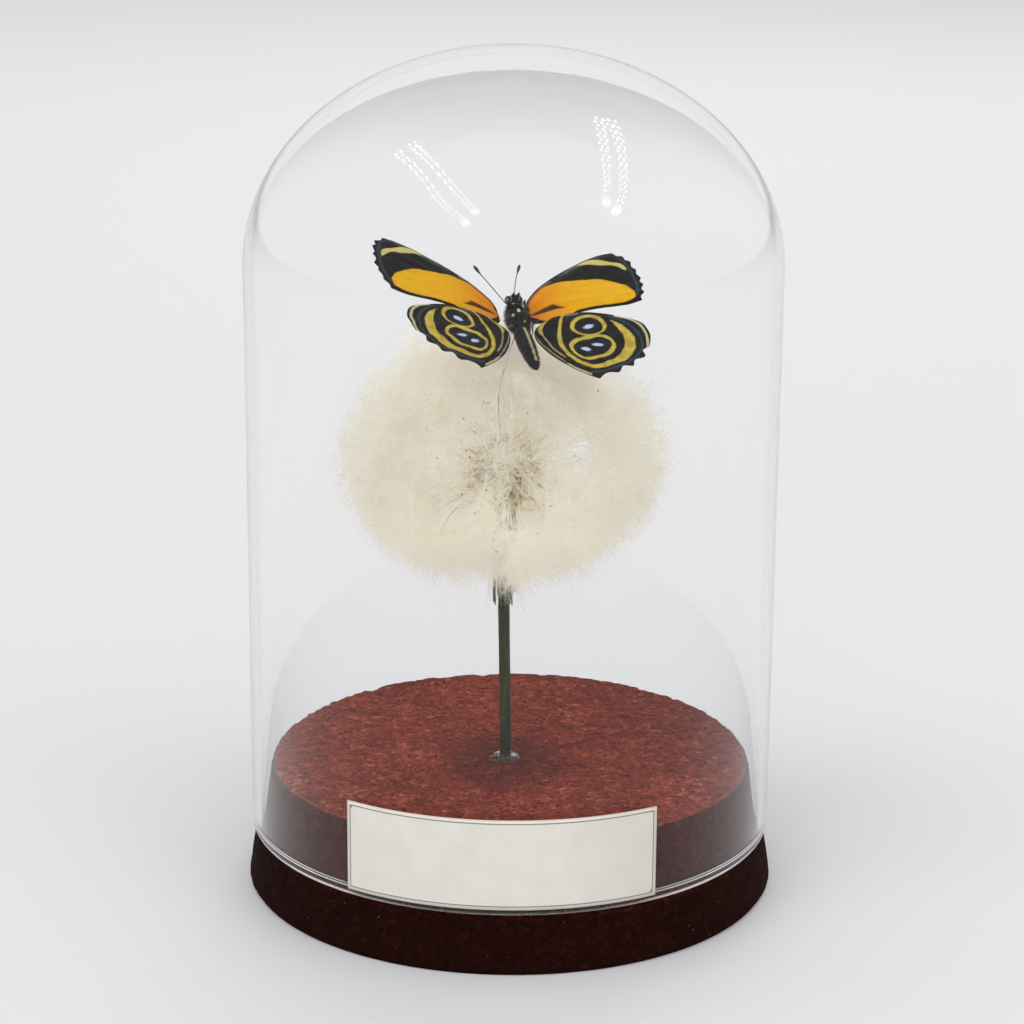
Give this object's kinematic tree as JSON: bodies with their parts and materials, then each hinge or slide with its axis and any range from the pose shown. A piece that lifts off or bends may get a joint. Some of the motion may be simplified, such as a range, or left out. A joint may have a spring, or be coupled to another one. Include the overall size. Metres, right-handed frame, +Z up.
{
  "type": "mounted butterfly in a glass dome",
  "caption": "Butterfly mounted on a dried dandelion-like seed head under a clear glass dome, on a round stained cork base with a paper label.",
  "frame": {"origin": "centre of the cork base's underside, on the surface that it stands on", "axes": "+Z up, along the dome's axis and its longest side; -Y is the front, where the label is; +X to the right seen from the front"},
  "size_m": [0.1016, 0.1016, 0.16],
  "materials": {
    "cork": "matte",
    "glass": "polished",
    "paper": "matte",
    "stem": "satin",
    "glue": "gloss",
    "seed": "matte",
    "bract": "matte",
    "pappus": "matte",
    "wire": "satin",
    "insect_body": "satin",
    "forewing": "satin",
    "hindwing": "satin"
  },
  "bodies": {
    "root": {"cork_base": "cork", "glass_dome": "glass", "label": "paper", "stem": "stem", "glue_bead": "glue", "receptacle": "seed", "bracts": "bract", "seed_head": "pappus", "mounting_pin": "wire", "butterfly_body": "insect_body", "right_forewing": "forewing", "left_forewing": "forewing", "right_hindwing": "hindwing", "left_hindwing": "hindwing", "left_antenna": "insect_body", "right_antenna": "insect_body"}
  },
  "joints": []
}
